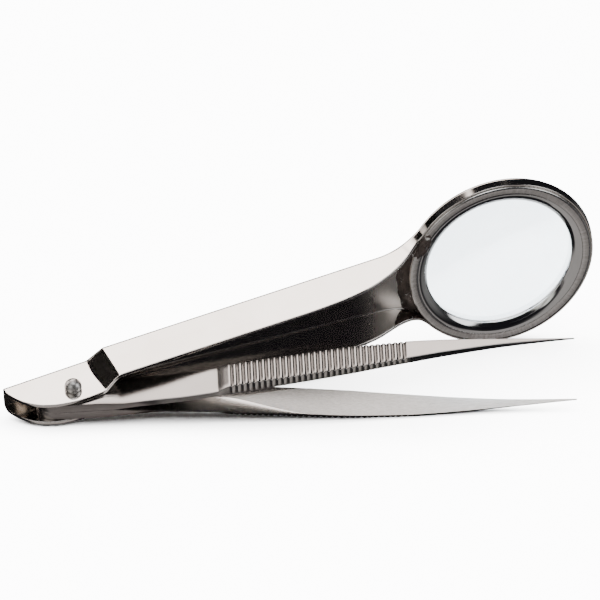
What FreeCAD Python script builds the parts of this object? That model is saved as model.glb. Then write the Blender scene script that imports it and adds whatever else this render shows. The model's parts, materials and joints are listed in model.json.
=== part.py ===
"""Pointed stamp tongs with a swinging magnifier, in millimetres.

The tongs are drawn in their own frame: X from the butt to the tips, Z the way the tines open,
Y sideways towards the side the owner looks from. The magnifier is drawn in an arm frame, which is
the same frame turned about the rivet. Last, everything is tipped into the pose in which the tongs
stand on a table: on the ring's rim, on the lower tine and on the lower head of the rivet.
"""

import FreeCAD, Part
import math
import os

V = FreeCAD.Vector
X_AXIS = V(1, 0, 0)
Y_AXIS = V(0, 1, 0)
Z_AXIS = V(0, 0, 1)
CENTRE = V(0, 0, 0)

# The pose of the parts at rest, in degrees
SWING_REST = 20.0
NECK_BEND = 6.5
REST_ROLL = 16.692
REST_PITCH = 2.798

# The pressed sheet of the magnifier's frame
SHEET = 0.7
BUTT_HALF = 2.5
JOG_START = 5.0
JOG_END = 9.4
JOG_HALF = 4.45
WALL_FLARE = 0.0464
NECK_RADIUS = 13.0
BACK_Y = 8.3
NEAR_Y = -2.1
LIP_Y = 5.5
LIP_END_Y = 5.1
TAIL_BACK_Y = 6.75
TAIL_X = -13.8
NECK_X = 77.4
ARM_END_X = 82.0
BEYOND = 30.0

# The ring, its lens and what holds the lens; depths run from the near rim to the back
RING_X = 94.5
RING_Y = 3.3
RING_R = 19.95
RING_DEPTH = 3.0
SKIRT_EDGE = 0.35
EYE_R = 15.7
HOLDER_R = RING_R - SHEET
HOLDER_BORE_R = 17.5
RETAINER_R = 17.4
RETAINER_BORE_R = 15.3
RETAINER_LIP = 1.25
RETAINER_FOOT = 1.45
LENS_R = 17.3
LENS_CLEAR_R = 15.2
LENS_CHAMFER = 0.3
LENS_GAP = 0.02
LENS_SAG_NEAR = 1.0
LENS_SAG_BACK = 0.85
SOLDER_FOOT = 3.2
SOLDER_HEIGHT = 1.75
SEAM_HOLLOW = 0.28
BLOB_ANGLE = 152.0
BLOB_OUT = 0.35
BLOB_DEPTH = 0.5
BLOB_RADII = V(1.3, 2.6, 1.0)

# The tongs: half width, inner face and outer face against the distance from the rivet
BUTT_THICK = 1.75
BUTT_END = 4.5
WAIST_X = 10.0
WAIST_THICK = 1.47
BUTT_WIDTH = 4.35
TAIL_END = -7.8
TAIL_RADIUS = 4.0
SPRING_X = 16.0
SPRING_GAP = 0.1
WELD_END = 7.5
SECTIONS = [
    # x, half width of the inner face, inner face, outer face
    (SPRING_X, 4.45, 0.50, 1.57),
    (21.0, 4.55, 0.90, 1.85),
    (26.5, 4.50, 1.45, 2.37),
    (29.0, 4.47, 1.77, 2.70),
    (29.6, 4.46, 1.85, 2.98),
    (30.6, 4.44, 1.98, 3.36),
]
GRIP_SECTIONS = [
    (31.9, 4.42, 2.16, 3.74),
    (45.7, 4.25, 4.03, 5.38),
    (55.0, 4.10, 5.25, 6.45),
    (60.7, 3.75, 5.92, 6.97),
    (67.9, 3.24, 6.65, 7.58),
]
POINT_SECTIONS = [
    (70.0, 3.08, 6.83, 7.73),
    (76.0, 2.40, 7.22, 8.03),
    (86.0, 1.32, 7.60, 8.20),
    (94.0, 0.66, 7.72, 8.12),
    (101.0, 0.12, 7.72, 7.95),
]
SIDE_BEVEL = 0.16
SIDE_BEVEL_SHARE = 0.5
RIDGES = 31
RIDGE_DEPTH = 0.32

# The pivot
RIVET_R = 1.0
RIVET_CLEARANCE = 0.05
HEAD_R = 1.75
HEAD_LIFT = 0.52


def face_of(edges):
    """The flat face inside a closed ring of edges."""
    return Part.Face(Part.Wire(edges))


def polygon_edges(points):
    """Straight edges through the points, in order, left open."""
    return [Part.LineSegment(a, b).toShape() for a, b in zip(points, points[1:])]


def between(rows, x):
    """The row at x, worked out in a straight line between its neighbours."""
    for low, high in zip(rows, rows[1:]):
        if x <= high[0]:
            share = (x - low[0]) / (high[0] - low[0])
            return [a + share * (b - a) for a, b in zip(low, high)]
    return list(rows[-1])


def wall_half(x, inset):
    """Half the channel's height beyond the jog, less the inset."""
    return JOG_HALF + WALL_FLARE * (x - JOG_END) - inset


def below(point):
    """The point's mirror image in the tongs' mid plane."""
    return V(point.x, point.y, -point.z)


def neck_arc(inset):
    """The hollow arc that joins the wall to the ring: its start, middle, end."""
    slant = math.hypot(1.0, WALL_FLARE)
    reach = RING_R + NECK_RADIUS
    # the arc's centre lies on a line beside the wall and on a circle about the ring
    base = wall_half(0.0, 0.0) + NECK_RADIUS * slant
    a = 1.0 + WALL_FLARE ** 2
    b = 2.0 * (WALL_FLARE * base - RING_X)
    c = RING_X ** 2 + base ** 2 - reach ** 2
    x = (-b - math.sqrt(b * b - 4.0 * a * c)) / (2.0 * a)
    centre = V(x, 0, base + WALL_FLARE * x)
    radius = NECK_RADIUS + inset
    to_wall = V(WALL_FLARE, 0, -1).normalize()
    to_ring = (V(RING_X, 0, 0) - centre).normalize()
    to_middle = (to_wall + to_ring).normalize()
    return [centre + d * radius for d in (to_wall, to_middle, to_ring)]


def plan_face(inset):
    """The frame's outline seen through the lens, drawn inwards by the inset."""
    start, middle, end = neck_arc(inset)
    half = BUTT_HALF - inset
    top = [V(TAIL_X, 0, half), V(JOG_START, 0, half), V(JOG_END, 0, JOG_HALF - inset), start]
    edges = polygon_edges(top)
    edges.append(Part.Arc(start, middle, end).toShape())
    edges.append(Part.LineSegment(end, below(end)).toShape())
    edges.append(Part.Arc(below(end), below(middle), below(start)).toShape())
    edges += polygon_edges([below(p) for p in reversed(top)])
    edges.append(Part.LineSegment(below(top[0]), top[0]).toShape())
    return face_of(edges)


def plan_prism(inset):
    """The outline as a block that reaches past the frame on both sides."""
    block = plan_face(inset).extrude(V(0, 2 * BEYOND, 0))
    block.translate(V(0, -BEYOND, 0))
    return block


def back_line(inset):
    """The frame's back from the tail to inside the ring, moved in by the inset."""
    bend = math.tan(math.radians(NECK_BEND))
    return [V(TAIL_X, TAIL_BACK_Y - 0.05 - inset, 0),
            V(JOG_START, BACK_Y - 0.25 - inset, 0),
            V(JOG_END, BACK_Y - inset, 0),
            V(NECK_X, BACK_Y - inset, 0),
            V(ARM_END_X, BACK_Y - inset - (ARM_END_X - NECK_X) * bend, 0)]


def near_edge():
    """The open edge of the walls from the tail to the ring, as edges."""
    tail = Part.BSplineCurve()
    tail.interpolate([V(TAIL_X + 0.75, TAIL_BACK_Y, 0), V(-12.5, 4.2, 0), V(-10.2, 0.0, 0), V(-7.0, -2.5, 0),
                      V(-3.5, -3.6, 0), V(0.0, -3.95, 0), V(JOG_START, -3.5, 0),
                      V(JOG_END, NEAR_Y - 0.1, 0), V(12.5, NEAR_Y, 0)])
    neck = Part.BSplineCurve()
    neck.interpolate([V(50.0, NEAR_Y, 0), V(57.0, -1.8, 0), V(63.0, -0.95, 0), V(67.0, 0.25, 0),
                      V(71.0, 2.15, 0), V(75.0, 4.3, 0), V(NECK_X, LIP_Y, 0)])
    straight = Part.LineSegment(V(12.5, NEAR_Y, 0), V(50.0, NEAR_Y, 0))
    lip = Part.LineSegment(V(NECK_X, LIP_Y, 0), V(ARM_END_X, LIP_END_Y, 0))
    return [curve.toShape() for curve in (tail, straight, neck, lip)]


def side_prism():
    """The walls' outline seen from the side, as a block across the frame."""
    back = back_line(0.0)
    back[0] = V(TAIL_X + 0.75, TAIL_BACK_Y, 0)
    edges = near_edge()
    edges.append(Part.LineSegment(V(ARM_END_X, LIP_END_Y, 0), back[-1]).toShape())
    edges += polygon_edges(back[::-1])
    block = face_of(edges).extrude(V(0, 0, 2 * BEYOND))
    block.translate(V(0, 0, -BEYOND))
    return block


def hollow_prism():
    """Everything on the open side of the frame's floor, as a block."""
    floor = back_line(SHEET)
    points = [V(TAIL_X, -BEYOND, 0)] + floor + [V(ARM_END_X, -BEYOND, 0), V(TAIL_X, -BEYOND, 0)]
    block = face_of(polygon_edges(points)).extrude(V(0, 0, 2 * BEYOND))
    block.translate(V(0, 0, -BEYOND))
    return block


def turned(points):
    """A ring turned from points of radius and depth, set at the arm's end."""
    ring = [V(radius, depth, 0) for radius, depth in points]
    ring.append(ring[0])
    solid = face_of(polygon_edges(ring)).revolve(CENTRE, Y_AXIS, 360)
    return in_ring(solid)


def in_ring(solid):
    """Moves a solid from the ring's own axes to the arm frame."""
    turn = FreeCAD.Rotation(Z_AXIS, -NECK_BEND)
    solid.Placement = FreeCAD.Placement(V(RING_X, RING_Y, 0), turn).multiply(solid.Placement)
    return solid


def make_frame():
    """The pressed sheet: butt, arm and ring shell in one piece."""
    arm = plan_prism(0.0).common(side_prism())
    shell = turned([(0, SKIRT_EDGE), (RING_R, SKIRT_EDGE), (RING_R, RING_DEPTH - SHEET),
                    (RING_R - SHEET, RING_DEPTH), (0, RING_DEPTH)])
    bowl = turned([(0, -BEYOND), (HOLDER_R, -BEYOND), (HOLDER_R, RING_DEPTH - SHEET),
                   (0, RING_DEPTH - SHEET)])
    eye = turned([(0, -BEYOND), (EYE_R, -BEYOND), (EYE_R, BEYOND), (0, BEYOND)])
    hole = Part.makeCylinder(RIVET_R + RIVET_CLEARANCE, 2 * BEYOND, V(0, 0, -BEYOND))
    hollow = plan_prism(SHEET).common(hollow_prism())
    frame = arm.fuse(shell)
    for cut in (hollow, bowl, eye, hole):
        frame = frame.cut(cut)
    return frame.removeSplitter()


def make_holder():
    """The outer ring with the satin rim, set in the frame's shell."""
    return turned([(HOLDER_BORE_R, 0.12), (HOLDER_BORE_R + 0.12, 0), (HOLDER_R - 0.3, 0),
                   (HOLDER_R, 0.3), (HOLDER_R, RING_DEPTH - SHEET),
                   (HOLDER_BORE_R, RING_DEPTH - SHEET)])


def make_retainer():
    """The bright inner ring, whose round lip slopes down to the glass."""
    return turned([(RETAINER_BORE_R, RETAINER_LIP), (15.5, 0.92), (16.0, 0.45), (16.6, 0.15),
                   (17.2, 0.12), (RETAINER_R, 0.3), (RETAINER_R, RETAINER_FOOT),
                   (RETAINER_BORE_R, RETAINER_FOOT)])


def lens_cap(radius, sag, depth, way):
    """One bulging face of the lens: a slice of a ball on the flat at the given depth."""
    ball_r = (radius ** 2 + sag ** 2) / (2.0 * sag)
    ball = Part.makeSphere(ball_r, V(0, depth + way * (sag - ball_r), 0))
    slab = Part.makeCylinder(radius + sag, sag, V(0, depth, 0), V(0, way, 0))
    return in_ring(ball.common(slab))


def make_lens():
    """A glass with two bulging faces inside a flat-faced edge."""
    near = RETAINER_FOOT + LENS_GAP
    back = RING_DEPTH - SHEET - LENS_GAP
    edge = turned([(0, near), (LENS_R - LENS_CHAMFER, near), (LENS_R, near + LENS_CHAMFER),
                   (LENS_R, back), (0, back)])
    lens = edge.fuse(lens_cap(LENS_CLEAR_R, LENS_SAG_NEAR, near, -1))
    return lens.fuse(lens_cap(LENS_CLEAR_R, LENS_SAG_BACK, back, 1)).removeSplitter()


def make_solder(frame, holder):
    """The seam of solder between the holder and the floor, with a blob at its upper end."""
    foot = RING_DEPTH - SHEET
    top = V(HOLDER_R, foot - SOLDER_HEIGHT, 0)
    corner = V(HOLDER_R, foot, 0)
    toe = V(HOLDER_R + SOLDER_FOOT, foot, 0)
    hollow = V(HOLDER_R + SEAM_HOLLOW * SOLDER_FOOT, foot - SEAM_HOLLOW * SOLDER_HEIGHT, 0)
    edges = polygon_edges([top, corner, toe]) + [Part.Arc(toe, hollow, top).toShape()]
    seam = in_ring(face_of(edges).revolve(CENTRE, Y_AXIS, 360))
    channel = plan_prism(SHEET).common(hollow_prism()).common(side_prism())
    angle = math.radians(BLOB_ANGLE)
    stretch = FreeCAD.Matrix()
    stretch.scale(BLOB_RADII)
    blob = Part.makeSphere(1.0).transformGeometry(stretch)
    blob.rotate(CENTRE, X_AXIS, 90)
    blob.rotate(CENTRE, Y_AXIS, -BLOB_ANGLE)
    blob.translate(V(math.cos(angle), 0, math.sin(angle)) * (HOLDER_R + BLOB_OUT) + V(0, BLOB_DEPTH, 0))
    solder = seam.common(channel).fuse(in_ring(blob))
    return solder.cut(holder).cut(frame).removeSplitter()


def root_outline():
    """The tongs' butt seen from above: straight sides and a rounded tail."""
    r = TAIL_RADIUS
    bulge = r * (1.0 - math.sqrt(0.5))
    x, y, end = TAIL_END, BUTT_WIDTH, SECTIONS[0][1]
    edges = [Part.Arc(V(x, y - r, 0), V(x + bulge, y - bulge, 0), V(x + r, y, 0)).toShape()]
    edges += polygon_edges([V(x + r, y, 0), V(0, y, 0), V(SPRING_X, end, 0),
                            V(SPRING_X, -end, 0), V(0, -y, 0), V(x + r, -y, 0)])
    edges.append(Part.Arc(V(x + r, -y, 0), V(x + bulge, bulge - y, 0), V(x, r - y, 0)).toShape())
    edges += polygon_edges([V(x, r - y, 0), V(x, y - r, 0)])
    return face_of(edges)


def make_root(side):
    """One tine's root, welded to the other along the mid plane; side is +1 above, -1 below."""
    end = SPRING_X - SPRING_GAP / 2
    _, _, inner, outer = SECTIONS[0]
    profile = [(TAIL_END - 1, 0), (TAIL_END - 1, BUTT_THICK), (BUTT_END, BUTT_THICK),
               (WAIST_X, WAIST_THICK), (end, outer), (end, inner), (WELD_END, 0), (TAIL_END - 1, 0)]
    points = [V(x, -BEYOND, side * z) for x, z in profile]
    block = face_of(polygon_edges(points)).extrude(V(0, 2 * BEYOND, 0))
    outline = root_outline().extrude(V(0, 0, 2 * BEYOND))
    outline.translate(V(0, 0, -BEYOND))
    hole = Part.makeCylinder(RIVET_R, 2 * BEYOND, V(0, 0, -BEYOND))
    return block.common(outline).cut(hole)


def blade_rows():
    """The blade's sections from the spring to the point, with two rows for each ridge."""
    first = list(SECTIONS[0])
    first[0] += SPRING_GAP / 2
    rows = [first] + [list(row) for row in SECTIONS[1:]]
    start, end = GRIP_SECTIONS[0][0], GRIP_SECTIONS[-1][0]
    pitch = (end - start) / RIDGES
    for i in range(RIDGES):
        valley = between(GRIP_SECTIONS, start + i * pitch)
        valley[3] -= RIDGE_DEPTH
        rows.append(valley)
        rows.append(between(GRIP_SECTIONS, start + (i + 0.5) * pitch))
    return rows + [list(row) for row in POINT_SECTIONS]


def make_blade(side):
    """One tine's blade, from the spring zone through the ridged grip to the point."""
    wires = []
    for x, half, inner, outer in blade_rows():
        narrow = half - SIDE_BEVEL_SHARE * (outer - inner) - SIDE_BEVEL * min(1.0, half)
        narrow = max(narrow, 0.5 * half)
        corners = [V(x, -half, side * inner), V(x, half, side * inner),
                   V(x, narrow, side * outer), V(x, -narrow, side * outer)]
        wires.append(Part.Wire(polygon_edges(corners + corners[:1])))
    return Part.makeLoft(wires, True, True)


def make_rivet():
    """The pivot: a shank through both walls with a ball head outside each."""
    face = BUTT_HALF + RIVET_CLEARANCE
    rivet = Part.makeCylinder(RIVET_R, 2 * face, V(0, 0, -face))
    block = Part.makeBox(2 * BEYOND, 2 * BEYOND, 2 * face, V(-BEYOND, -BEYOND, -face))
    for side in (1, -1):
        ball = Part.makeSphere(HEAD_R, V(0, 0, side * (face + HEAD_LIFT)))
        rivet = rivet.fuse(ball.cut(block))
    return rivet.removeSplitter()


def swing(shape, degrees=SWING_REST):
    """Turns the magnifier about the rivet; the arm lies along the tongs at 0."""
    turn = FreeCAD.Placement(CENTRE, FreeCAD.Rotation(Z_AXIS, degrees))
    shape.Placement = turn.multiply(shape.Placement)
    return shape


def build():
    """All the parts in the tongs' own frame, the magnifier at its rest angle."""
    frame = make_frame()
    holder = make_holder()
    solder = make_solder(frame, holder)
    return {
        "magnifier_frame": swing(frame),
        "lens_holder": swing(holder),
        "lens_retainer": swing(make_retainer()),
        "lens": swing(make_lens()),
        "holder_solder": swing(solder),
        "pivot_rivet": make_rivet(),
        "upper_tine_root": make_root(1),
        "lower_tine_root": make_root(-1),
        "upper_tine_blade": make_blade(1),
        "lower_tine_blade": make_blade(-1),
    }


def standing(shapes):
    """The move that stands the tongs on the table, over the middle of their footprint."""
    roll = FreeCAD.Rotation(X_AXIS, REST_ROLL)
    pitch = FreeCAD.Rotation(Y_AXIS, -REST_PITCH)
    tip = FreeCAD.Placement(CENTRE, pitch.multiply(roll))
    tipped = Part.makeCompound([shape.transformed(tip.toMatrix()) for shape in shapes.values()])
    box = tipped.optimalBoundingBox(False)
    down = FreeCAD.Placement(V(-box.Center.x, -box.Center.y, -box.ZMin), FreeCAD.Rotation())
    return down.multiply(tip)


def main():
    """Writes one STEP file for each part."""
    os.makedirs("parts", exist_ok=True)
    shapes = build()
    stand = standing(shapes)
    for node, shape in shapes.items():
        shape.Placement = stand.multiply(shape.Placement)
        shape.exportStep("parts/" + node + ".step")
        print(node, "solids", len(shape.Solids), "valid", shape.isValid(),
              "volume", round(shape.Volume, 1))
    return stand


STAND = main()
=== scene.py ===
import json
import math

import bmesh
import bpy
from mathutils import Matrix, Vector, noise


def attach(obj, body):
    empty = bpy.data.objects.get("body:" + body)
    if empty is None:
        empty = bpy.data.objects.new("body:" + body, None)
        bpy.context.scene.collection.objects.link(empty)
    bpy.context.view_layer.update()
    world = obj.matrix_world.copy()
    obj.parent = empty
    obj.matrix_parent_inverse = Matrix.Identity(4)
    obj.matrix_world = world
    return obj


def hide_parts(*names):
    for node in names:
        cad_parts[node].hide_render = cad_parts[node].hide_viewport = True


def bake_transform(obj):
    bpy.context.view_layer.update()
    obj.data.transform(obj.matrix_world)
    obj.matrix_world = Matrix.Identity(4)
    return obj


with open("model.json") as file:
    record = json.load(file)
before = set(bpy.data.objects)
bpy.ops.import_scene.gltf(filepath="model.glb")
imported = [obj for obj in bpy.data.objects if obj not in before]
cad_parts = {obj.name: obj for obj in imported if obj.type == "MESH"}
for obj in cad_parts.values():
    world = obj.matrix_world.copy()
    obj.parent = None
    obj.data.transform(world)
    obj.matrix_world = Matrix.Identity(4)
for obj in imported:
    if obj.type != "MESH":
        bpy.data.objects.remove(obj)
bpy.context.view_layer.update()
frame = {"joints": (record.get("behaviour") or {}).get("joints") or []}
MM = 0.001

# ---------------------------------------------------------------------------------------------
# Where things are. The tongs' own axes come from the joints: X along the tines from the rivet
# to the tips, Y sideways, Z the way the tines open. All sizes below are millimetres.
# ---------------------------------------------------------------------------------------------
JOINTS = {joint["name"]: joint for joint in frame["joints"]}
PIVOT = Vector(JOINTS["magnifier_swing"]["pos_m"])
OPENING = Vector(JOINTS["magnifier_swing"]["axis"]).normalized()
SIDEWAYS = Vector(JOINTS["upper_blade_flex"]["axis"]).normalized()
ALONG = SIDEWAYS.cross(OPENING).normalized()
TONGS = Matrix((ALONG, SIDEWAYS, OPENING)).transposed().to_4x4()
TONGS.translation = PIVOT

# The arm of the magnifier, swung out from the tongs, and its neck bent towards the tines
SWING_REST = math.radians(20.0)
NECK_BEND = math.radians(6.5)
BEND_LENGTH = 5.0
ARM = TONGS @ Matrix.Rotation(SWING_REST, 4, "Z")

# The pressed sheet: its bends, half its width over the walls, its back line and its open edge
SHEET = 0.7
BEND_R = 1.05
LIP_R = 0.13
SHORTEST_WALL = BEND_R + LIP_R + 0.05
BUTT_HALF = 2.5
JOG_START = 5.0
JOG_END = 9.4
JOG_HALF = 4.45
JOG_SET_BACK = 0.8
JOG_BULGE = 0.7
JOG_TALL = 10.4
JOG_SOFT_START = 0.5
JOG_SOFT_END = 0.3
WALL_FLARE = 0.0464
NECK_RADIUS = 13.0
NECK_X = 77.4
NECK_SPLIT = 76.0
BACK_Y = 8.3
BACK_TAPER = 0.0568
TAIL_TAPER = 0.015
TAIL_X = -12.6
# Stretches of the arm, with the step between the stations of each
ARM_STRETCHES = [(TAIL_X, -11.0, 0.15), (-11.0, 3.5, 0.5), (3.5, 11.0, 0.14), (11.0, 68.0, 1.2)]
NECK_STEP = 0.04
RING_STEP = 0.033
FLOOR_STRIPS = 14
# x and y of the open edge of the walls
NEAR_EDGE = [(-13.05, 6.75), (-12.5, 4.2), (-10.2, 0.0), (-7.0, -2.5), (-3.5, -3.6), (0.0, -3.95),
             (JOG_START, -3.5), (JOG_END, -2.2), (12.5, -2.1), (30.0, -2.1), (50.0, -2.1),
             (57.0, -1.8), (63.0, -0.95), (67.0, 0.25), (71.0, 2.15), (75.0, 4.3), (NECK_X, 5.5)]

# The ring; depths run from its near rim to its back
RING_X = 94.5
RING_Y = 3.3
RING_R = 19.95
RING_TAPER = 0.3
TAPER_START = NECK_X - 5.0
TAPER_END = NECK_X + 3.0
RING_DEPTH = 3.0
RING_FOOT = RING_DEPTH - SHEET
SKIRT_EDGE = 0.35
SKIRT_RUN = 4.0
EYE_R = 15.7
HOLDER_R = RING_R - SHEET
HOLDER_BORE_R = 17.5
RETAINER_R = 17.4
RETAINER_BORE_R = 15.3
RETAINER_FOOT = 1.45
LENS_R = 17.3
LENS_CLEAR_R = 15.2
LENS_GAP = 0.02
LENS_NEAR = RETAINER_FOOT + LENS_GAP
LENS_BACK = RING_FOOT - LENS_GAP
LENS_SAG_NEAR = 1.0
LENS_SAG_BACK = 0.85
LENS_CHAMFER_NEAR = 0.3
LENS_CHAMFER_BACK = 0.2
LENS_STEPS = 24
TURN_STEPS = 192

# The solder: a hollow seam at the neck, let into its neighbours by a lap, and a lump on the rim
SOLDER_FOOT = 3.2
SOLDER_HEIGHT = 1.75
SOLDER_LAP = 0.02
SEAM_SAG = 0.30
SEAM_LIFT = 0.04
SEAM_STEPS = 12
SEAM_STATIONS = 60
# Lumps of the seam: how many to a millimetre, and how tall
SEAM_LUMPS = [(0.5, 0.14), (1.9, 0.02)]
BLOB_ANGLE = math.radians(152.0)
BLOB_INSET = 1.0
BLOB_DEPTH = 0.12
BLOB_OUT = 1.35
BLOB_THICK = 0.42
BLOB_ALONG = 2.7
BLOB_RINGS = 32
BLOB_POINTS = 40
BLOB_LUMP = 0.35
BLOB_LUMPS = 1.7
RING = ARM @ Matrix.Translation(Vector((RING_X, RING_Y, 0)) * MM) @ Matrix.Rotation(-NECK_BEND, 4, "Z")

# The tines: x, half width of the inner face, inner face, outer face
TAIL_END = -7.8
TAIL_RADIUS = 4.0
BUTT_WIDTH = 4.35
TINE_ROWS = [(-3.8, 4.35, 0.0, 1.75), (4.5, 4.38, 0.0, 1.75), (7.5, 4.4, 0.0, 1.6),
             (10.0, 4.42, 0.15, 1.47), (16.0, 4.45, 0.50, 1.57), (21.0, 4.55, 0.90, 1.85),
             (26.5, 4.50, 1.45, 2.37), (29.0, 4.47, 1.77, 2.70), (29.6, 4.46, 1.85, 2.98),
             (30.6, 4.44, 1.98, 3.36), (31.9, 4.42, 2.16, 3.74), (45.7, 4.25, 4.03, 5.38),
             (55.0, 4.10, 5.25, 6.45), (60.7, 3.75, 5.92, 6.97), (67.9, 3.24, 6.65, 7.58),
             (76.0, 2.40, 7.22, 8.03), (86.0, 1.32, 7.60, 8.20), (94.0, 0.66, 7.72, 8.12),
             (101.0, 0.12, 7.72, 7.95)]
WELD_END = 7.5
WELD_NOTCH = 0.02
WELD_SEAM = 0.006
GRIP_START = 31.9
GRIP_END = 67.9
RIDGES = 31
RIDGE_DEPTH = 0.32
RIDGE_PITCH = (GRIP_END - GRIP_START) / RIDGES
FIRST_RIDGE = GRIP_START - RIDGE_PITCH / 2
FLAT_START = 30.7
FLAT_FULL = 49.0
BEVEL_START = 9.0
BEVEL_END = 19.0
CROWN = 0.05
CROWN_END = 14.0
TINE_EDGE = 0.10
TINE_SHARP = 30.0
SHOULDER = 28.6
POINT_START = 100.2
POINT_END = 100.95
# Stretches of a tine past its rounded tail, with the step between the stations of each
TINE_STRETCHES = [(TAIL_END + TAIL_RADIUS, WELD_END - WELD_NOTCH, 0.8),
                  (WELD_END - WELD_NOTCH, WELD_END + WELD_NOTCH, 2 * WELD_NOTCH),
                  (WELD_END + WELD_NOTCH, WELD_END + 0.3, 0.3), (WELD_END + 0.3, SHOULDER, 0.5),
                  (SHOULDER, FIRST_RIDGE, 0.1), (FIRST_RIDGE, GRIP_END, RIDGE_PITCH / 10),
                  (GRIP_END, POINT_START, 0.6), (POINT_START, POINT_END, 0.15)]

# The pivot
RIVET_R = 1.0
HEAD_R = 1.75
HEAD_LIFT = 0.52
HEAD_FACE = BUTT_HALF + 0.05
HEAD_STEPS = 21

# The camera, in degrees and metres: it looks at the open side of the channel, and its picture is
# this wide where the tongs are
CAMERA_HEIGHT = math.radians(38.0)
CAMERA_ROLL = math.radians(3.4)
CAMERA_DISTANCE = 2.5
CAMERA_AIM = Vector((0.0465, 0, 0))
CAMERA_RAISE = 0.0171
CAMERA_FORWARD = 0.012
PICTURE_WIDTH = 0.1211
SENSOR_WIDTH = 36.0

# The table, the lamp over it, the room's brightness and the black card beside the jog
TABLE_HALF = 4.0
LAMP_STRENGTH = 40.0
LAMP_ANGLE = math.radians(120.0)
DARK_ROOM = (0.010, 0.010, 0.012, 1)
WHITE_PANEL = (4.8, 4.45, 4.2, 1)
COOL_PANEL = (2.8, 2.85, 2.9, 1)
SOFT_PANEL = (1.2, 1.2, 1.15, 1)
LOW_WALL = (0.2, 0.2, 0.2, 1)
LIT_TABLE = (0.42, 0.40, 0.39, 1)
FLAG_AT = Vector((7.4, 3.2, 3.6))
FLAG_WAY = Vector((-0.575, 0.387, 0.721))
FLAG_DISTANCE = 0.105
FLAG_HALF_WIDE = 0.021
FLAG_HALF_TALL = 0.02


# ---------------------------------------------------------------------------------------------
# Node trees
# ---------------------------------------------------------------------------------------------
class Socket:
    """A value in a node tree that can be used in sums."""

    def __init__(self, tree, socket):
        self.tree = tree
        self.socket = socket

    def math(self, operation, *others):
        return self.tree.node("Math", {"operation": operation}, [self, *others])

    def __add__(self, other):
        return self.math("ADD", other)

    def __sub__(self, other):
        return self.math("SUBTRACT", other)

    def __rsub__(self, other):
        return self.tree.node("Math", {"operation": "SUBTRACT"}, [other, self])

    def __mul__(self, other):
        return self.math("MULTIPLY", other)

    def __truediv__(self, other):
        return self.math("DIVIDE", other)

    def __pow__(self, other):
        return self.math("POWER", other)

    __radd__ = __add__
    __rmul__ = __mul__

    def within(self, low, high):
        """1 above high, 0 below low, smooth between."""
        settings = {"interpolation_type": "SMOOTHSTEP"}
        return self.tree.node("MapRange", settings, {"Value": self, "From Min": low, "From Max": high})


class Tree:
    """Builds the nodes of a material, a world or a modifier."""

    def __init__(self, node_tree, family="ShaderNode"):
        self.nodes = node_tree.nodes
        self.links = node_tree.links
        self.family = family

    def node(self, kind, settings=None, inputs=None, output=0):
        """A node of that kind: its settings first, then its sockets, and one of its outputs."""
        known = ("Math", "VectorMath", "MapRange")
        prefix = "ShaderNode" if kind in known else self.family
        made = self.nodes.new(kind if kind.startswith(("Node", "Geometry")) else prefix + kind)
        for name, value in (settings or {}).items():
            setattr(made, name, value)
        pairs = inputs.items() if isinstance(inputs, dict) else enumerate(inputs or [])
        for key, value in pairs:
            if isinstance(value, Socket):
                self.links.new(value.socket, made.inputs[key])
            elif value is not None:
                made.inputs[key].default_value = value
        return Socket(self, made.outputs[output]) if made.outputs else made

    def mix(self, share, first, second):
        """One colour laid over another."""
        return self.node("Mix", {"data_type": "RGBA"}, {0: share, 6: first, 7: second}, output=2)


def material(name, build=None, **constants):
    """A material whose shader has these constants, and the links that build makes, if any."""
    made = bpy.data.materials.new(name)
    made.use_nodes = True
    shader = made.node_tree.nodes["Principled BSDF"]
    for key, value in constants.items():
        shader.inputs[key.replace("_", " ")].default_value = value
    tree = Tree(made.node_tree)
    for key, socket in (build(tree) if build else {}).items():
        made.node_tree.links.new(socket.socket, shader.inputs[key])
    return made


def place_on(tree, size=(1.0, 1.0, 1.0), axes=None):
    """Object coordinates in millimetres, turned to a piece's own axes, then scaled."""
    point = tree.node("TexCoord", output=3)
    turn = (axes or TONGS).inverted()
    spin = turn.to_euler()
    shift = turn.translation
    local = tree.node("Mapping", inputs={"Vector": point, "Location": shift, "Rotation": spin})
    factor = [s / MM for s in size]
    return tree.node("VectorMath", {"operation": "MULTIPLY"}, [local, factor])


def speckle(tree, point, scale, detail=3.0, roughness=0.6):
    """Fractal noise between 0 and 1 at a scale in marks per millimetre."""
    sockets = {"Vector": point, "Scale": scale, "Detail": detail, "Roughness": roughness}
    return tree.node("TexNoise", inputs=sockets)


def bump(tree, height, distance):
    """A bump of that height in millimetres."""
    return tree.node("Bump", inputs={"Height": height, "Distance": distance * MM, "Strength": 1.0})


def face_mark(tree, name):
    """A mark from 0 to 1 that the piece's mesh carries."""
    return tree.node("Attribute", {"attribute_name": name}, output=2)


def plated_sheet(tree):
    """Bright nickel plate: hairlines, faint smudges, a little pitting and a dull patch at the neck."""
    along = place_on(tree, (0.035, 1.0, 1.0), ARM)
    across = place_on(tree, axes=ARM)
    hairlines = speckle(tree, along, 5.0, 4.0, 0.7)
    smudge = speckle(tree, across, 0.09, 4.0)
    pits = speckle(tree, across, 2.2, 2.0).within(0.68, 0.8)
    colour = tree.mix(smudge.within(0.35, 0.75), (0.86, 0.815, 0.775, 1), (0.80, 0.75, 0.705, 1))
    colour = tree.mix(pits * 0.35, colour, (0.45, 0.41, 0.38, 1))
    spot = [tree.node("SeparateXYZ", inputs=[across], output=k) for k in (0, 1)]
    etched = spot[0].within(60.0, 74.0) * spot[1].within(7.3, 7.5) * (1.0 - spot[1].within(7.9, 8.1))
    rough = 0.045 + smudge.within(0.4, 0.8) * 0.05 + hairlines * 0.04 + pits * 0.12 + etched * 0.30
    wave = speckle(tree, across, 0.16, 1.0)
    height = hairlines * 0.10 + wave * 2.2 - pits * 0.25
    return {"Base Color": colour, "Roughness": rough, "Normal": bump(tree, height, 0.006)}


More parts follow.
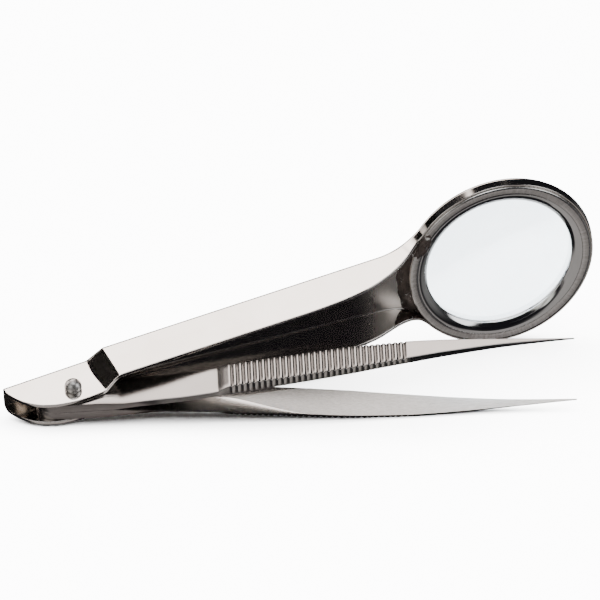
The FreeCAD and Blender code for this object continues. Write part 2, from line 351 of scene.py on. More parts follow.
def ring_lines(tree, count):
    """Fine marks that point at the ring's middle, that many to a radian, and the distance from it."""
    point = place_on(tree, axes=RING)
    x = tree.node("SeparateXYZ", inputs=[point], output=0)
    z = tree.node("SeparateXYZ", inputs=[point], output=2)
    angle = z.math("ARCTAN2", x) * count
    radius = (x * x + z * z) ** 0.5
    lines = tree.node("CombineXYZ", inputs=[angle, radius * 0.35, 0.0])
    return speckle(tree, lines, 1.0, 3.0, 0.7), radius


def satin_ring(tree):
    """The ground rim: radial marks, a worn outer corner and faint stains."""
    marks, radius = ring_lines(tree, 75.0)
    stains = speckle(tree, place_on(tree, axes=RING), 0.22, 4.0)
    colour = tree.mix(marks.within(0.3, 0.7), (0.64, 0.615, 0.59, 1), (0.82, 0.80, 0.78, 1))
    colour = tree.mix(stains.within(0.5, 0.8) * 0.5, colour, (0.34, 0.31, 0.29, 1))
    worn = radius.within(HOLDER_R - 0.35, HOLDER_R)
    rough = 0.21 + marks * 0.08 - worn * 0.08
    return {"Base Color": colour, "Roughness": rough, "Normal": bump(tree, marks, 0.006)}


def bright_ring(tree):
    """The polished lip round the glass, with turning lines."""
    marks, radius = ring_lines(tree, 2.0)
    turning = speckle(tree, tree.node("CombineXYZ", inputs=[radius, 0.0, 0.0]), 6.0, 2.0)
    colour = tree.mix(marks, (0.62, 0.62, 0.61, 1), (0.80, 0.79, 0.78, 1))
    return {"Base Color": colour, "Roughness": 0.07 + turning * 0.06, "Normal": bump(tree, turning, 0.003)}


def tongs_steel(tree):
    """Polished steel: satin on the ground flats, rougher on the side faces, with painted shade on the side
    faces and over the ridged outer face.
    """
    ground = face_mark(tree, "ground")
    flank = face_mark(tree, "flank")
    outside = face_mark(tree, "ridged")
    along = place_on(tree, (0.05, 1.0, 1.0))
    grain = speckle(tree, along, 9.0, 4.0, 0.7)
    smudge = speckle(tree, place_on(tree), 0.12, 4.0)
    pits = speckle(tree, place_on(tree), 3.0, 2.0).within(0.66, 0.78)
    bright = tree.mix(smudge, (0.80, 0.785, 0.77, 1), (0.68, 0.66, 0.645, 1))
    satin = tree.mix(grain.within(0.3, 0.7), (0.36, 0.355, 0.35, 1), (0.58, 0.575, 0.57, 1))
    # Painted shade: the side faces get a darker colour; their extra roughness below is the steel's own.
    flank_shade = tree.mix(grain.within(0.3, 0.7), (0.30, 0.27, 0.255, 1), (0.46, 0.43, 0.42, 1))
    colour = tree.mix(flank, tree.mix(ground, bright, satin), flank_shade)
    # Painted shade: the ridged outer face is coloured darker.
    colour = tree.mix(outside * 0.8, colour, (0.24, 0.22, 0.21, 1))
    colour = tree.mix(pits * 0.3, colour, (0.25, 0.23, 0.21, 1))
    polish = 0.12 + smudge * 0.08 + grain * 0.05
    rough = polish + ground * (0.14 + grain * 0.08) + flank * 0.12
    height = grain * (0.25 + ground) - pits * 0.4
    return {"Base Color": colour, "Roughness": rough, "Normal": bump(tree, height, 0.006)}


def bright_rivet(tree):
    """A satin steel ball with fine handling marks."""
    marks = speckle(tree, place_on(tree), 1.6, 4.0)
    colour = tree.mix(marks, (0.66, 0.65, 0.64, 1), (0.50, 0.48, 0.465, 1))
    return {"Base Color": colour, "Roughness": 0.36 + marks * 0.08, "Normal": bump(tree, marks, 0.002)}


def solder(tree):
    """Solder coloured near black as painted shade, with a few bright beads."""
    lumps = speckle(tree, place_on(tree, axes=RING), 0.7, 3.0)
    # Painted shade: the near-black base colour stands in for the dark that the seam reflects.
    colour = tree.mix(lumps.within(0.62, 0.75), (0.045, 0.036, 0.032, 1), (0.45, 0.44, 0.42, 1))
    return {"Base Color": colour, "Roughness": 0.20 + lumps * 0.2, "Normal": bump(tree, lumps, 0.02)}


def lens_glass(tree):
    """Clear glass with a breath of dust."""
    dust = speckle(tree, place_on(tree, axes=RING), 0.5, 5.0).within(0.6, 0.9)
    colour = tree.mix(dust * 0.2, (0.36, 0.405, 0.44, 1), (0.30, 0.33, 0.35, 1))
    return {"Base Color": colour, "Roughness": dust * 0.04}


PLATED = material("plated_sheet", plated_sheet, Metallic=1.0)
SATIN = material("satin_ring", satin_ring, Metallic=1.0)
BRIGHT = material("bright_ring", bright_ring, Metallic=1.0)
STEEL = material("tongs_steel", tongs_steel, Metallic=1.0)
RIVET = material("bright_rivet", bright_rivet, Metallic=1.0)
SOLDER = material("solder", solder, Metallic=0.9)
GLASS = material("lens_glass", lens_glass, Transmission_Weight=1.0, IOR=1.5, Alpha=0.80)


# ---------------------------------------------------------------------------------------------
# Shapes
# ---------------------------------------------------------------------------------------------
def ramp(x, start, soft):
    """0 before start and x - start after it, rounded over soft each side."""
    if x <= start - soft:
        return 0.0
    if x >= start + soft:
        return x - start
    return (x - start + soft) ** 2 / (4.0 * soft)


def ease(x, start, end):
    """0 before start, 1 after end, smooth between."""
    share = min(max((x - start) / (end - start), 0.0), 1.0)
    return share * share * (3.0 - 2.0 * share)


def slope_at(rows, i, column):
    """The slope of a smooth line through the rows that never swings past them."""
    if i in (0, len(rows) - 1):
        i = min(max(i, 1), len(rows) - 1)
        return (rows[i][column] - rows[i - 1][column]) / (rows[i][0] - rows[i - 1][0])
    before = (rows[i][column] - rows[i - 1][column]) / (rows[i][0] - rows[i - 1][0])
    after = (rows[i + 1][column] - rows[i][column]) / (rows[i + 1][0] - rows[i][0])
    return 2.0 * before * after / (before + after) if before * after > 0 else 0.0


def line_at(rows, x, column=1):
    """A smooth line through the rows, read at x."""
    i = max(k for k in range(len(rows) - 1) if k == 0 or rows[k][0] <= x)
    low, high = rows[i], rows[i + 1]
    span = high[0] - low[0]
    t = min(max((x - low[0]) / span, 0.0), 1.0)
    a, b = slope_at(rows, i, column) * span, slope_at(rows, i + 1, column) * span
    rise = high[column] - low[column]
    return low[column] + t * a + t * t * (3 * rise - 2 * a - b) + t ** 3 * (a + b - 2 * rise)


def spread(start, end, step):
    """Even steps from start to just before end."""
    count = max(1, round((end - start) / step))
    return [start + (end - start) * i / count for i in range(count)]


def rounded(corners, steps=3):
    """A closed outline: each corner (a, b, radius) is replaced by a small arc."""
    outline = []
    for i, (a, b, radius) in enumerate(corners):
        here = Vector((a, b))
        if radius == 0:
            outline.append(here)
            continue
        last, after = Vector(corners[i - 1][:2]), Vector(corners[(i + 1) % len(corners)][:2])
        reach = min(radius, 0.45 * (last - here).length, 0.45 * (after - here).length)
        start = here + (last - here).normalized() * reach
        end = here + (after - here).normalized() * reach
        for k in range(steps + 1):
            t = k / steps
            outline.append(start * (1 - t) ** 2 + here * 2 * t * (1 - t) + end * t * t)
    return outline


class Surface:
    """Points and faces of one piece, gathered patch by patch."""

    def __init__(self):
        self.points = []
        self.faces = []

    def grid(self, rows, around=False, along=False):
        """A patch of quads from rows of points; around joins a row's ends, along the last row."""
        width = len(rows[0])
        first = len(self.points)
        for row in rows:
            self.points.extend(row)
        for i in range(len(rows) if along else len(rows) - 1):
            for k in range(width if around else width - 1):
                low, high = first + i * width, first + (i + 1) % len(rows) * width
                self.faces.append((low + k, low + (k + 1) % width, high + (k + 1) % width, high + k))

    def cap(self, loop):
        """One flat face over a loop of points."""
        first = len(self.points)
        self.points.extend(loop)
        self.faces.append(tuple(range(first, first + len(loop))))

    def piece(self, name, place, finish, sharp=38.0):
        """The surface as an object in the row frame, welded shut, its faces pointing outwards."""
        mesh = bpy.data.meshes.new(name)
        mesh.from_pydata([place @ (Vector(p) * MM) for p in self.points], [], self.faces)
        shell = bmesh.new()
        shell.from_mesh(mesh)
        bmesh.ops.remove_doubles(shell, verts=shell.verts, dist=0.0015 * MM)
        bmesh.ops.dissolve_degenerate(shell, edges=shell.edges, dist=0.0005 * MM)
        bmesh.ops.recalc_face_normals(shell, faces=shell.faces)
        shell.to_mesh(mesh)
        shell.free()
        mesh.polygons.foreach_set("use_smooth", [True] * len(mesh.polygons))
        mesh.set_sharp_from_angle(angle=math.radians(sharp))
        mesh.materials.append(finish)
        return placed(name, mesh)


def placed(name, data):
    """An object in the scene that shows this mesh, lamp or camera."""
    made = bpy.data.objects.new(name, data)
    bpy.context.scene.collection.objects.link(made)
    return made


def turned(outline, closed=True, segments=TURN_STEPS):
    """A piece turned from an outline of radius and depth about the local Y axis."""
    surface = Surface()
    rows = []
    for i in range(segments):
        turn = 2.0 * math.pi * i / segments
        rows.append([(r * math.cos(turn), d, r * math.sin(turn)) for r, d in outline])
    surface.grid(rows, around=closed, along=True)
    return surface


# ---------------------------------------------------------------------------------------------
# The magnifier's pressed frame
# ---------------------------------------------------------------------------------------------
RING_FLAT_X = NECK_X + (RING_X + RING_DEPTH * math.sin(NECK_BEND) - NECK_X) / math.cos(NECK_BEND)


def wall_half(x, height=0.0):
    """Half the channel's width over its walls; the jog bulges towards the tail at half height."""
    share = min(max(height / JOG_TALL, 0.0), 1.0)
    start = JOG_START + JOG_SET_BACK - JOG_BULGE * math.sin(math.pi * share)
    rise = (JOG_HALF - BUTT_HALF) / (JOG_END - start)
    past = ramp(x, JOG_END, JOG_SOFT_END)
    return BUTT_HALF + rise * (ramp(x, start, JOG_SOFT_START) - past) + WALL_FLARE * past


def back_at(x):
    """The back line of the arm before its neck is bent."""
    return BACK_Y - BACK_TAPER * ramp(JOG_END - x, 0.0, 1.0) - TAIL_TAPER * ramp(JOG_START - x, 0.0, 1.0)


def wall_height(x):
    """How far the wall stands in front of the back line."""
    rim = RING_DEPTH - SKIRT_EDGE
    if x >= NECK_X:
        return rim + (BACK_Y - NEAR_EDGE[-1][1] - rim) * (1.0 - ease(x, NECK_X, NECK_X + SKIRT_RUN))
    return back_at(x) - line_at(NEAR_EDGE, x)


def bent(x, height, z):
    """A point of the flat arm, its height measured from the back, after the neck is bent."""
    start = NECK_X - BEND_LENGTH / 2
    turn = NECK_BEND * min(max((x - start) / BEND_LENGTH, 0.0), 1.0)
    if turn == 0.0:
        return (x, back_at(x) - height, z)
    radius = BEND_LENGTH / NECK_BEND
    beyond = max(0.0, x - start - BEND_LENGTH)
    base_x = start + radius * math.sin(turn) + beyond * math.cos(turn)
    base_y = BACK_Y - radius * (1.0 - math.cos(turn)) - beyond * math.sin(turn)
    return (base_x - math.sin(turn) * height, base_y - math.cos(turn) * height, z)


def half_outline():
    """Stations along the upper wall from the tail to the ring's front: x, z, inward x, inward z.

    The straight wall runs into an arc of the neck's radius, which touches the ring."""
    xs = [x for stretch in ARM_STRETCHES for x in spread(*stretch)]
    slant = math.hypot(1.0, WALL_FLARE)
    base = JOG_HALF - WALL_FLARE * JOG_END + NECK_RADIUS * slant
    reach = RING_R + NECK_RADIUS
    a = 1.0 + WALL_FLARE ** 2
    b = 2.0 * (WALL_FLARE * base - RING_FLAT_X)
    c = RING_FLAT_X ** 2 + base ** 2 - reach ** 2
    centre_x = (-b - math.sqrt(b * b - 4.0 * a * c)) / (2.0 * a)
    centre_z = base + WALL_FLARE * centre_x
    first = math.atan(WALL_FLARE)
    last = math.atan2(RING_FLAT_X - centre_x, centre_z)
    stations = [(x, None, 0.0, -1.0) for x in xs if x < centre_x + NECK_RADIUS * math.sin(first) - 0.3]
    for turn in spread(first, last, NECK_STEP):
        side, down = math.sin(turn), -math.cos(turn)
        stations.append((centre_x + NECK_RADIUS * side, centre_z + NECK_RADIUS * down, side, down))
    for turn in spread(math.pi / 2 + last, 0.0, -RING_STEP) + [0.0]:
        out_x, out_z = math.cos(turn), math.sin(turn)
        stations.append((RING_FLAT_X + RING_R * out_x, RING_R * out_z, -out_x, -out_z))
    return stations


def wall_profile(tall, taper=0.0):
    """The wall's section from the floor outside, over the lip, to the floor inside."""
    bend, under = ([(BEND_R - radius * math.sin(t), BEND_R - radius * math.cos(t))
                    for t in spread(0.0, math.pi / 2, math.pi / 16)] for radius in (BEND_R, BEND_R - SHEET))
    top = tall - LIP_R
    shares = (0.0, 0.03, 0.3, 0.65, 0.97, 1.0)
    wall = [(taper * share, BEND_R + (top - BEND_R) * share) for share in shares]
    lining = [(SHEET, height) for _, height in wall]
    turns = [math.pi * k / 6 for k in (1, 2, 3)]
    arc = [(LIP_R * (1 - math.cos(t)), top + LIP_R * math.sin(t)) for t in turns]
    lip = [(taper + inset, height) for inset, height in arc]
    back = [(SHEET - inset, height) for inset, height in reversed(arc)]
    return bend + wall, lip + back, under + lining


def column(station, sign):
    """One section of the wall at a station, on the upper side for sign 1, the lower for -1."""
    x, z, in_x, in_z = station
    taper = 0.0 if z is None else RING_TAPER * ease(x, TAPER_START, TAPER_END)
    outer, lip, lining = wall_profile(max(wall_height(x), SHORTEST_WALL), taper)
    points = []
    for inset, height in outer + lip + lining[::-1]:
        edge = wall_half(x, height) if z is None else z
        points.append(bent(x + in_x * inset, height, sign * (edge + in_z * inset)))
    return points


def make_frame_shell():
    """Butt, arm and ring shell of the magnifier, pressed from one sheet."""
    stations = half_outline()
    upper = [column(s, 1) for s in stations]
    lower = [column(s, -1) for s in stations]
    surface = Surface()
    surface.grid(upper + lower[-2::-1])
    split = max(i for i, s in enumerate(stations) if s[0] < NECK_SPLIT)
    # the back face and the inner face of the floor: the end of a column, the depth from the back
    floors, eyes = [], []
    for end, level in ((0, 0.0), (-1, SHEET)):
        floor = [between(upper[i][end], lower[i][end]) for i in range(split + 1)]
        surface.grid(floor)
        loop = [c[end] for c in upper[split:]] + [c[end] for c in lower[-2:split - 1:-1]]
        loop += floor[-1][-2:0:-1]
        eyes.append(ring_floor(surface, loop, level))
        floors.append(floor)
    surface.grid(eyes, around=True)
    close_tail(surface, upper[0], lower[0], floors)
    return surface.piece("frame_shell", ARM, PLATED)


def between(first, last):
    """Evenly spaced points from one to the other."""
    shares = [k / FLOOR_STRIPS for k in range(FLOOR_STRIPS + 1)]
    return [tuple(Vector(first).lerp(Vector(last), share)) for share in shares]


def ring_floor(surface, loop, level):
    """One face of the ring's floor, from the loop at its edge to the eye, whose points it gives."""
    middle = Vector(bent(RING_FLAT_X, level, 0.0))
    eye = []
    for point in loop:
        way = ARM_TO_RING @ (Vector(point) - middle)
        way.y = 0.0
        spot = way.normalized() * EYE_R
        spot.y = RING_DEPTH - level
        eye.append(tuple(RING_TO_ARM @ spot))
    rings = [[tuple(Vector(p).lerp(Vector(e), share)) for p, e in zip(loop, eye)]
             for share in (0.0, 0.33, 0.66, 0.96, 1.0)]
    surface.grid(rings, around=True)
    return eye


def close_tail(surface, upper, lower, floors):
    """The cut end of the sheet at the tail."""
    walls = len(wall_profile(SHORTEST_WALL)[0])
    for side in (upper, lower):
        outside, inside = side[:walls], side[:-walls - 1:-1]
        surface.grid([outside, inside])
        surface.cap([outside[-1], *side[walls:-walls], inside[-1]])
    surface.grid([floor[0] for floor in floors])


RING_TO_ARM = Matrix.Translation((RING_X, RING_Y, 0)) @ Matrix.Rotation(-NECK_BEND, 4, "Z")
ARM_TO_RING = Matrix.Rotation(NECK_BEND, 3, "Z")


# ---------------------------------------------------------------------------------------------
# The lens and what holds it
# ---------------------------------------------------------------------------------------------
def make_holder():
    """The ground outer ring: radius, depth and corner radius of each corner, from the bore outwards."""
    outline = rounded([(HOLDER_BORE_R - 0.08, 0.1, 0.03), (HOLDER_BORE_R + 0.3, 0.0, 0.1),
                       (HOLDER_R - 0.5, -0.02, 0.1), (HOLDER_R - 0.12, 0.14, 0.12),
                       (HOLDER_R, 0.5, 0.1), (HOLDER_R, RING_FOOT, 0.05), (HOLDER_BORE_R, RING_FOOT, 0.05)])
    return turned(outline).piece("holder_ring", RING, SATIN)


def make_retainer():
    """The bright inner ring: its rolled lip slopes down to the glass."""
    outline = rounded([(RETAINER_BORE_R, 1.3, 0.06), (RETAINER_BORE_R + 0.08, 1.12, 0.2),
                       (RETAINER_BORE_R + 0.8, 0.5, 0.5), (RETAINER_R - 0.5, 0.14, 0.3),
                       (RETAINER_R, 0.12, 0.03),
                       (RETAINER_R, RETAINER_FOOT, 0.05), (RETAINER_BORE_R, RETAINER_FOOT, 0.05)], 5)
    return turned(outline).piece("retainer_ring", RING, BRIGHT)


def bulge(sag, depth, way):
    """The lens face from its edge to its middle: points of radius and depth."""
    ball = (LENS_CLEAR_R ** 2 + sag ** 2) / (2.0 * sag)
    radii = [LENS_CLEAR_R * (1.0 - i / LENS_STEPS) for i in range(LENS_STEPS)] + [0.0]
    return [(r, depth + way * (math.sqrt(ball * ball - r * r) - ball + sag)) for r in radii]


def make_lens():
    """The magnifying glass: two bulging faces and a ground edge."""
    near = bulge(LENS_SAG_NEAR, LENS_NEAR, -1)
    back = bulge(LENS_SAG_BACK, LENS_BACK, 1)
    edge = [(LENS_R - LENS_CHAMFER_BACK, LENS_BACK), (LENS_R, LENS_BACK - LENS_CHAMFER_BACK),
            (LENS_R, LENS_NEAR + LENS_CHAMFER_NEAR), (LENS_R - LENS_CHAMFER_NEAR, LENS_NEAR)]
    return turned(back[::-1] + edge + near, closed=False).piece("lens_disc", RING, GLASS)


# x and half the frame's outer width, from the end of the straight wall to the side of the ring
NECK_LINE = [(x, z) for x, z, _, _ in half_outline() if z is not None and x < RING_FLAT_X - 10.0]


def wall_angle(radius):
    """How far round from the arm's axis the channel reaches at that distance from the middle."""
    reached = 0.0
    for turn in spread(0.0, 0.6, 0.0015):
        x = RING_FLAT_X - radius * math.cos(turn)
        if radius * math.sin(turn) < neck_half(x) - SHEET / 2:
            reached = turn
    return reached


def neck_half(x):
    """Half the frame's width near the neck, outside."""
    return wall_half(x) if x <= NECK_LINE[0][0] else line_at(NECK_LINE, x)


def make_solder():
    """The seam between the holder and the floor, and the blob at its upper end."""
    start = HOLDER_R - SOLDER_LAP
    profile = [(start, RING_FOOT + SOLDER_LAP), (start, RING_FOOT - SOLDER_HEIGHT)]
    for i in range(1, SEAM_STEPS):
        t = i / SEAM_STEPS
        sag = 1.0 - SEAM_SAG * math.sin(math.pi * t)
        tall = SOLDER_HEIGHT * (1 - t) * sag + SEAM_LIFT
        profile.append((HOLDER_R + SOLDER_FOOT * t, RING_FOOT - tall))
    profile.append((HOLDER_R + SOLDER_FOOT, RING_FOOT + SOLDER_LAP))
    reach = [wall_angle(r) for r, _ in profile]
    surface = Surface()
    rows = []
    for i in range(SEAM_STATIONS + 1):
        share = 2 * i / SEAM_STATIONS - 1.0
        row = []
        for (radius, depth), angle in zip(profile, reach):
            turn = math.pi - share * angle
            spot = Vector((radius * math.cos(turn), depth, radius * math.sin(turn)))
            lump = sum(noise.noise(spot * count) * tall for count, tall in SEAM_LUMPS)
            row.append((spot.x, spot.y + lump * min(1.0, (RING_FOOT - depth) * 2.0), spot.z))
        rows.append(row)
    surface.grid(rows, around=True)
    surface.cap(rows[0])
    surface.cap(rows[-1])
    add_blob(surface)
    return surface.piece("solder_seam", RING, SOLDER, 60.0)


def add_blob(surface):
    """A lump of solder run over the rim."""
    out = Vector((math.cos(BLOB_ANGLE), 0, math.sin(BLOB_ANGLE)))
    beside = Vector((-math.sin(BLOB_ANGLE), 0, math.cos(BLOB_ANGLE)))
    middle = out * (HOLDER_R - BLOB_INSET) + Vector((0, BLOB_DEPTH, 0))
    rows = []
    for i in range(BLOB_RINGS + 1):
        lift = math.pi * i / BLOB_RINGS
        row = []
        for k in range(BLOB_POINTS):
            spin = 2.0 * math.pi * k / BLOB_POINTS
            way = Vector((math.sin(lift) * math.cos(spin), math.sin(lift) * math.sin(spin), math.cos(lift)))
            size = 1.0 + BLOB_LUMP * noise.noise(way * BLOB_LUMPS)
            spot = out * (BLOB_OUT * way.x) + beside * (BLOB_ALONG * way.z)
            spot.y = BLOB_THICK * way.y
            row.append(tuple(middle + spot * size))
        rows.append(row)
    surface.grid(rows, around=True)


# ---------------------------------------------------------------------------------------------
# The tines
# ---------------------------------------------------------------------------------------------
def tine_section(x):
    """One section of a tine: its corners softened, with more points over the outer face."""
    half, inner, outer = (line_at(TINE_ROWS, x, column) for column in (1, 2, 3))
    flat = flat_half(x)
    if x < TAIL_END + TAIL_RADIUS:
        reach = TAIL_END + TAIL_RADIUS - x
        half = BUTT_WIDTH - TAIL_RADIUS + math.sqrt(max(TAIL_RADIUS ** 2 - reach ** 2, 0.0))
    small = min(1.0, half)
    bevel = ease(x, BEVEL_START, BEVEL_END) * (0.5 * (outer - inner) + 0.16 * small)
    narrow = max(half - bevel, 0.5 * half)
    flat = min(max(flat, 0.03), half - TINE_EDGE * small)
    face = inner + (WELD_SEAM if x < WELD_END else 0.0)
    side = face + CROWN * ease(x, WELD_END, CROWN_END) * (half - flat)
    edge = TINE_EDGE * min(1.0, 2.0 * half)
    outline = rounded([(-half, side, edge), (-flat, face, 0), (flat, face, 0), (half, side, edge),
                       (narrow, outer, 1.5 * edge), (-narrow, outer, 1.5 * edge)])
    last, first = outline[-4], outline[-5]
    return outline[:-4] + [first.lerp(last, k / 6) for k in range(1, 6)] + outline[-4:]


def flat_half(x):
    """Half the width of the ground flat on a tine's inner face."""
    return line_at(TINE_ROWS, x) * ease(x, FLAT_START, FLAT_FULL) ** 0.75


def tine_stations():
    """Distances along a tine, close together where its shape changes."""
    tail = [TAIL_END + TAIL_RADIUS * (1.0 - math.cos(t)) for t in spread(0.05, math.pi / 2, 0.12)]
    return tail + [x for stretch in TINE_STRETCHES for x in spread(*stretch)] + [POINT_END]


def make_tine(name, side):
    """One tine from its welded root to its point, before the ridges are cut; side is 1 or -1."""
    surface = Surface()
    stations = tine_stations()
    rows = [[(x, p.x, side * p.y) for p in tine_section(x)] for x in stations]
    surface.grid(rows, around=True)
    surface.cap(rows[0])
    surface.cap(rows[-1])
    tine = surface.piece(name, TONGS, STEEL, TINE_SHARP)
    mark_tine(tine, side)
    return cut_ridges(tine, side)


def mark_tine(tine, side):
    """Marks how far along each point lies and if the ridges reach it, and which faces are ground
    flats or side faces, the side faces taking painted shade."""
    back = TONGS.inverted()
    along, ridged, ground, flank = [], [], [], []
    for vertex in tine.data.vertices:
        spot = back @ vertex.co / MM
        inner, outer = (line_at(TINE_ROWS, spot.x, column) for column in (2, 3))
        along.append(spot.x)
        ridged.append(float(side * spot.z > inner + 0.8 * (outer - inner)))
    for face in tine.data.polygons:
        spot = back @ face.center / MM
        normal = back.to_3x3() @ face.normal
        on_flat = spot.x > FLAT_START and abs(spot.y) < flat_half(spot.x)
        ground.append(float(on_flat and -side * normal.z > 0.9))
        flank.append(float(spot.x < GRIP_END and abs(normal.y) > 0.55))
    marks = {"along": ("POINT", along), "ridged": ("POINT", ridged), "ground": ("FACE", ground),
             "flank": ("FACE", flank)}
    for name, (domain, values) in marks.items():
        tine.data.attributes.new(name, "FLOAT", domain).data.foreach_set("value", values)


def ridge_tree():
    """Cuts rounded ridges across a face: valleys at even steps between two distances."""
    group = bpy.data.node_groups.new("ridge_cutter", "GeometryNodeTree")
    face = group.interface
    face.new_socket("Tine", in_out="INPUT", socket_type="NodeSocketGeometry")
    for name, kind in (("Start", "Float"), ("End", "Float"), ("Ridges", "Float"), ("Depth", "Float"),
                       ("Outward", "Vector"), ("Finish", "Material")):
        face.new_socket(name, in_out="INPUT", socket_type="NodeSocket" + kind)
    face.new_socket("Tine", in_out="OUTPUT", socket_type="NodeSocketGeometry")
    tree = Tree(group, "GeometryNode")
    entry = group.nodes.new("NodeGroupInput")
    given = {socket.name: Socket(tree, socket) for socket in entry.outputs if socket.name}
    along = tree.node("InputNamedAttribute", {"data_type": "FLOAT"}, ["along"])
    ridged = tree.node("InputNamedAttribute", {"data_type": "FLOAT"}, ["ridged"])
    share = (along - given["Start"]) / (given["End"] - given["Start"])
    wave = (share * given["Ridges"] * math.pi).math("SINE").math("ABSOLUTE")
    margin = 0.5 / RIDGES
    inside = share.math("GREATER_THAN", -margin) * share.math("LESS_THAN", 1.0 - margin)
    cut = (1.0 - wave) * inside * ridged * given["Depth"]
    offset = tree.node("VectorMath", {"operation": "SCALE"}, {0: given["Outward"], 3: 0.0 - cut})
    moved = tree.node("SetPosition", inputs={"Geometry": given["Tine"], "Offset": offset})
    solid = tree.node("RealizeInstances", inputs=[moved])
    done = tree.node("SetMaterial", inputs={"Geometry": solid, "Material": given["Finish"]})
    leave = group.nodes.new("NodeGroupOutput")
    group.links.new(done.socket, leave.inputs[0])
    return group


def cut_ridges(tine, side):
    """Runs the ridge cutter on a tine and keeps its result as a plain mesh."""
    cutter = tine.modifiers.new("ridges", "NODES")
    cutter.node_group = RIDGE_CUTTER
    values = {"Start": GRIP_START, "End": GRIP_END, "Ridges": float(RIDGES), "Depth": RIDGE_DEPTH * MM,
              "Outward": tuple(OPENING * side), "Finish": STEEL}
    for item in RIDGE_CUTTER.interface.items_tree:
        if item.in_out == "INPUT" and item.name in values:
            cutter[item.identifier] = values[item.name]
    tine.update_tag()
    bpy.context.view_layer.update()
    seen = tine.evaluated_get(bpy.context.evaluated_depsgraph_get())
    mesh = bpy.data.meshes.new_from_object(seen)
    tine.modifiers.remove(cutter)
    tine.data = mesh
    mesh.set_sharp_from_angle(angle=math.radians(TINE_SHARP))
    return tine


RIDGE_CUTTER = ridge_tree()


# ---------------------------------------------------------------------------------------------
# The pivot
# ---------------------------------------------------------------------------------------------
def make_rivet():
    """A shank through both walls and a ball head outside each."""
    cut = math.acos(-HEAD_LIFT / HEAD_R)
    turns = [cut * i / HEAD_STEPS for i in range(HEAD_STEPS + 1)]
    outline = [(HEAD_R * math.sin(t), HEAD_FACE + HEAD_LIFT + HEAD_R * math.cos(t)) for t in turns]
    outline.append((RIVET_R, HEAD_FACE))
    outline += [(r, -h) for r, h in reversed(outline)]
    upright = TONGS @ Matrix.Rotation(math.pi / 2, 4, "X")
    return turned(outline, closed=False, segments=TURN_STEPS // 2).piece("pivot_balls", upright, RIVET, 50.0)


# ---------------------------------------------------------------------------------------------
# The pieces: those of the magnifier and the rivet each on its body, and the tines baked in place
# ---------------------------------------------------------------------------------------------
def on_body(piece, body, slot, *nodes):
    """Rides the piece on its body in place of the nodes; the finish slot is not used."""
    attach(piece, body)
    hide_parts(*nodes)


on_body(make_frame_shell(), "magnifier", "plated_sheet", "magnifier_frame")
on_body(make_holder(), "magnifier", "satin_ring", "lens_holder")
on_body(make_retainer(), "magnifier", "bright_ring", "lens_retainer")
on_body(make_lens(), "magnifier", "lens_glass", "lens")
on_body(make_solder(), "magnifier", "solder", "holder_solder")
on_body(make_rivet(), "tongs_butt", "bright_rivet", "pivot_rivet")
for level, side in (("upper", 1), ("lower", -1)):
    tine = make_tine(level + "_tine", side)
    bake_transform(tine)
    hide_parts(level + "_tine_root", level + "_tine_blade")


# ---------------------------------------------------------------------------------------------
# Floor, light and camera
# ---------------------------------------------------------------------------------------------
def make_camera():
    """The camera looks at the open side of the channel, from above the tongs' own plane."""
    turn = TONGS.to_3x3()
    back = turn @ Vector((0, -math.cos(CAMERA_HEIGHT), math.sin(CAMERA_HEIGHT)))
    level = turn @ Vector((1, 0, 0))
    over = back.cross(level)
    right = level * math.cos(CAMERA_ROLL) - over * math.sin(CAMERA_ROLL)
    up = level * math.sin(CAMERA_ROLL) + over * math.cos(CAMERA_ROLL)
    aim = TONGS @ CAMERA_AIM + over * CAMERA_RAISE - back * CAMERA_FORWARD
    camera = placed("camera", bpy.data.cameras.new("camera"))
    facing = Matrix((right, up, back)).transposed().to_4x4()
    camera.matrix_world = Matrix.Translation(aim + back * CAMERA_DISTANCE) @ facing
    camera.data.sensor_width = SENSOR_WIDTH
    camera.data.lens = SENSOR_WIDTH * CAMERA_DISTANCE / PICTURE_WIDTH
    camera.data.clip_start = 0.01
    camera.data.clip_end = 20.0
    bpy.context.scene.camera = camera


def board(name, half_wide, half_tall, finish):
    """A flat rectangle about its own middle, in metres, that isn't part of the tongs."""
    mesh = bpy.data.meshes.new(name)
    corners = [(-half_wide, -half_tall, 0), (half_wide, -half_tall, 0),
               (half_wide, half_tall, 0), (-half_wide, half_tall, 0)]
    mesh.from_pydata(corners, [], [(0, 1, 2, 3)])
    mesh.materials.append(finish)
    return placed(name, mesh)


def make_floor():
    """A plain pale table, which the plating doesn't mirror."""
    paint = material("table_paint", Base_Color=(0.93, 0.93, 0.93, 1), Roughness=0.9, Specular_IOR_Level=0.1)
    table = board("table", TABLE_HALF, TABLE_HALF, paint)
    table.visible_glossy = False


def table_lamp():
    """A wide lamp straight overhead that lights the table evenly."""
    lamp = bpy.data.lights.new("table_lamp", "SUN")
    lamp.energy = LAMP_STRENGTH
    lamp.angle = LAMP_ANGLE
    placed("table_lamp", lamp).visible_glossy = False


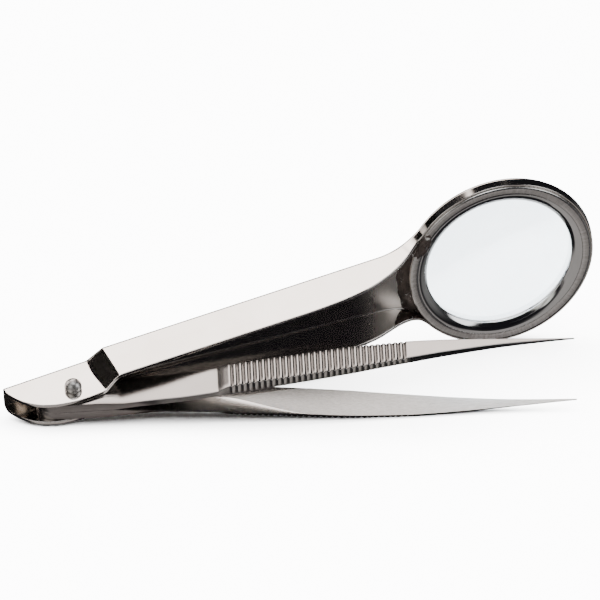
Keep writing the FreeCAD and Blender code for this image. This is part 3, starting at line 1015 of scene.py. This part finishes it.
def panel(around, height, left, right, low, high, soft=6.0):
    """A soft-edged panel in the room: 1 between its sides and its lower and upper edges, in degrees."""
    left, right, low, high = (math.radians(v) for v in (left, right, low, high))
    soft = math.radians(soft)
    return (around.within(left - soft, left + soft) * (1.0 - around.within(right - soft, right + soft))
            * height.within(low - soft, low + soft) * (1.0 - height.within(high - soft, high + soft)))


def make_room():
    """A dark room in which each panel is a patch of brightness, behind or before the tongs."""
    world = bpy.data.worlds.new("room")
    world.use_nodes = True
    bpy.context.scene.world = world
    tree = Tree(world.node_tree)
    way = tree.node("TexCoord", output=0)
    x, y, z = (tree.node("SeparateXYZ", inputs=[way], output=k) for k in range(3))
    height = z.math("ARCSINE")
    behind = x.math("ARCTAN2", y)
    before = (0.0 - x).math("ARCTAN2", 0.0 - y)
    back_panel = panel(behind, height, -73.0, 27.0, 45.0, 67.0, 4.0)
    side_panel = panel(behind, height, -73.0, -47.0, 10.0, 47.0)
    right_panel = panel(before, height, -84.0, -54.0, 6.0, 42.0, 4.0)
    left_panel = panel(before, height, 14.0, 62.0, 0.0, 34.0, 4.0)
    overhead = panel(before, height, -55.0, 55.0, 58.0, 84.0)
    low_wall = panel(behind, height, 22.0, 110.0, -45.0, -8.0, 16.0)
    lit_table = panel(before, height, -43.0, 60.0, -95.0, -12.0)
    room = tree.mix(back_panel.math("MAXIMUM", side_panel), DARK_ROOM, WHITE_PANEL)
    room = tree.mix(right_panel.math("MAXIMUM", overhead), room, COOL_PANEL)
    room = tree.mix(left_panel, room, SOFT_PANEL)
    room = tree.mix(low_wall, room, LOW_WALL)
    room = tree.mix(lit_table, room, LIT_TABLE)
    shade = world.node_tree.nodes["Background"]
    world.node_tree.links.new(room.socket, shade.inputs["Color"])


def make_flag():
    """A small black card beside the jog, seen only in the plating."""
    black = material("flag_black", Base_Color=(0, 0, 0, 1), Specular_IOR_Level=0.0)
    card = board("flag", FLAG_HALF_WIDE, FLAG_HALF_TALL, black)
    turn = FLAG_WAY.to_track_quat("Z", "Y").to_matrix().to_4x4()
    card.matrix_world = Matrix.Translation(ARM @ (FLAG_AT * MM) + FLAG_WAY * FLAG_DISTANCE) @ turn
    card.visible_camera = False
    card.visible_diffuse = False
    card.visible_shadow = False
    card.visible_transmission = False


make_floor()
table_lamp()
make_room()
make_flag()
make_camera()
